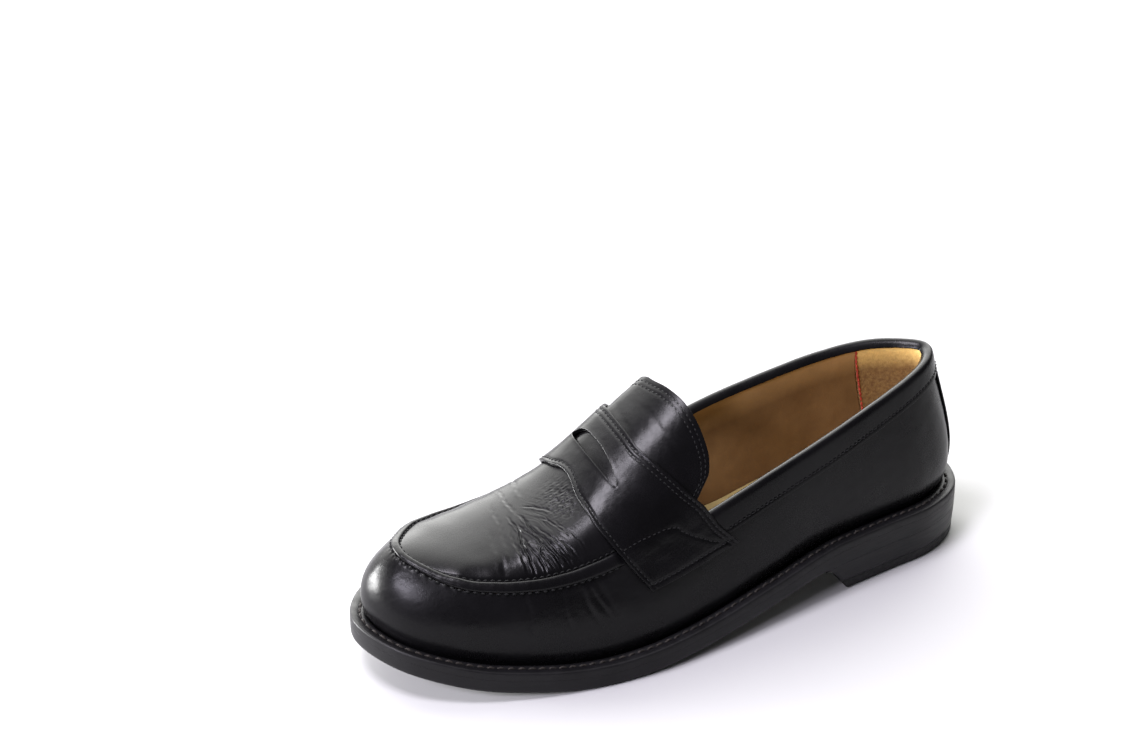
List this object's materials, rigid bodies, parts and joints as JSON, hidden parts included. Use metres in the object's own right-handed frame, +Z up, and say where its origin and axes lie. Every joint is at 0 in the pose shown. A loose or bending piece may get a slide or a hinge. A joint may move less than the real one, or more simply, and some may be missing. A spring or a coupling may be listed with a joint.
{
  "type": "penny loafer shoe",
  "caption": "Slip-on leather shoe for a left foot with a slotted saddle strap, raised moccasin seam, stitched welt and low stacked heel.",
  "frame": {"origin": "on the floor under the middle of the sole's length and width, which is also the middle of the whole shoe's bounding box", "axes": "+Z up from the floor, -Y towards the toe and +Y towards the heel, +X towards the lateral (outer) side of this left shoe"},
  "size_m": [0.0995, 0.278, 0.0987],
  "materials": {
    "calf_black": "polished smooth",
    "sole_black": "stained semi-gloss edge",
    "heel_rubber": "matt",
    "tan_leather": "dull, honey tan",
    "suede_gold": "napped",
    "stiffener": "matt",
    "cork": "granular",
    "board": "raw",
    "steel": "plain",
    "thread_black": "waxed",
    "thread_taupe": "waxed",
    "thread_red": "matt"
  },
  "bodies": {
    "root": {"outsole": "sole_black", "welt": "sole_black", "heel_stack": "sole_black", "top_lift": "heel_rubber", "heel_nails": "steel", "cork_filler": "cork", "shank": "steel", "insole_board": "board", "sock_liner": "tan_leather", "welt_stitches": "thread_taupe", "upper_wall": "calf_black", "apron": "calf_black", "seam_roll": "calf_black", "tongue": "calf_black", "tongue_lining": "tan_leather", "saddle_strap": "calf_black", "collar": "calf_black", "back_strip": "calf_black", "heel_counter": "stiffener", "toe_puff": "stiffener", "interlining_lateral": "stiffener", "interlining_medial": "stiffener", "vamp_lining": "tan_leather", "apron_lining": "tan_leather", "quarter_lining_lateral": "tan_leather", "quarter_lining_medial": "tan_leather", "heel_lining": "suede_gold", "moc_stitches": "thread_black", "plug_stitches": "thread_black", "strap_stitches": "thread_black", "tongue_stitches": "thread_black", "collar_stitches": "thread_black", "heel_lining_stitches": "thread_red"}
  },
  "joints": []
}
